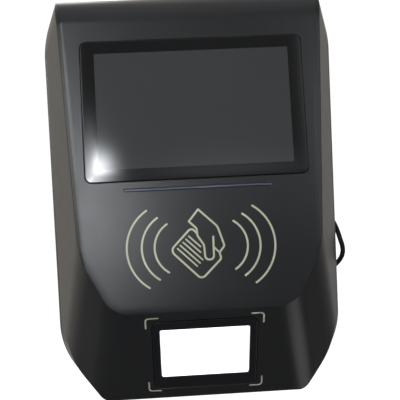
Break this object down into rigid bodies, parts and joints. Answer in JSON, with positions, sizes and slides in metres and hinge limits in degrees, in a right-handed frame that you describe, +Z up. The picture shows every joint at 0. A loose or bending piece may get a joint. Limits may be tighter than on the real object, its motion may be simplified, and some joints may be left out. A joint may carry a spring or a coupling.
{
  "type": "ticket validator",
  "caption": "Wall or pole mounted ticket validator with a tilted face holding a screen and a contactless card target above a code scanner window on the chin.",
  "frame": {"origin": "centre of the mounting bracket's flat rear face, which lies on the wall or pole plate", "axes": "+Z up, -Y out of the face towards the passenger, +Y into the wall, +X to the passenger's right"},
  "size_m": [0.1775, 0.0849, 0.232],
  "materials": {
    "shell": "satin fine texture",
    "glass": "black-backed cover glass",
    "display": "switched-off panel",
    "gloss_frame": "polished black",
    "diffuser": "milky diffuser",
    "light_guide": "smoked translucent",
    "gasket": "foam rubber",
    "tape": "foam tape",
    "circuit_board": "solder mask",
    "ferrite": "matt sheet",
    "steel": "zinc plated",
    "brass": "brass",
    "aluminium": "extruded",
    "bracket": "powder coat",
    "polymer": "moulded",
    "pale_plastic": "moulded",
    "cable_jacket": "matt jacket",
    "ink": "screen printed ink"
  },
  "bodies": {
    "housing": {"front_shell": "shell", "rear_cover": "shell", "rear_box": "shell", "cover_gasket": "gasket", "screen_glass": "glass", "glass_tape": "tape", "lcd_panel": "display", "lcd_bracket": "steel", "light_guide": "light_guide", "light_bar_board": "circuit_board", "card_antenna": "circuit_board", "ferrite_sheet": "ferrite", "scanner_frame": "gloss_frame", "scanner_window": "diffuser", "scanner_light_box": "pale_plastic", "scanner_light_board": "circuit_board", "scanner_lens": "gloss_frame", "scanner_module": "polymer", "scanner_bracket": "steel", "main_board": "circuit_board", "compute_module": "circuit_board", "heat_sink": "aluminium", "coin_holder": "polymer", "coin_cell": "steel", "power_socket": "pale_plastic", "sim_board": "circuit_board", "sim_card": "pale_plastic", "speaker": "polymer", "radio_antenna": "circuit_board", "display_flex": "brass", "door_pin": "steel", "reset_switch": "circuit_board", "lock_sleeve": "steel", "lock_nut": "steel", "mount_bracket": "bracket", "cable_gland": "polymer", "gland_nut": "polymer", "cable": "cable_jacket", "cable_coil": "cable_jacket", "cable_tail": "cable_jacket", "cable_plug": "polymer", "cable_tie": "polymer", "cover_screw_left_top": "steel", "cover_screw_left_middle": "steel", "cover_screw_left_bottom": "steel", "board_screw_left_bottom": "steel", "board_screw_left_top": "steel", "cover_screw_right_top": "steel", "cover_screw_right_middle": "steel", "cover_screw_right_bottom": "steel", "board_screw_right_bottom": "steel", "board_screw_right_top": "steel"},
    "door": {"service_door": "shell"},
    "lock_plug": {"lock_barrel": "brass", "lock_cam": "steel"},
    "reset": {"reset_button": "polymer"}
  },
  "joints": [
    {"name": "door_hinge", "type": "hinge", "parent": "housing", "child": "door", "pos_m": [0, -0.0274, -0.109], "axis": [-1, 0, 0], "range_deg": [0, 90]},
    {"name": "lock_turn", "type": "hinge", "parent": "housing", "child": "lock_plug", "pos_m": [0, -0.0218, -0.06], "axis": [0, 0, 1], "range_deg": [0, 90]},
    {"name": "reset_press", "type": "slide", "parent": "housing", "child": "reset", "axis": [0, -1, 0], "range_m": [0, 0.0012], "stiffness_N_per_m": 600}
  ]
}
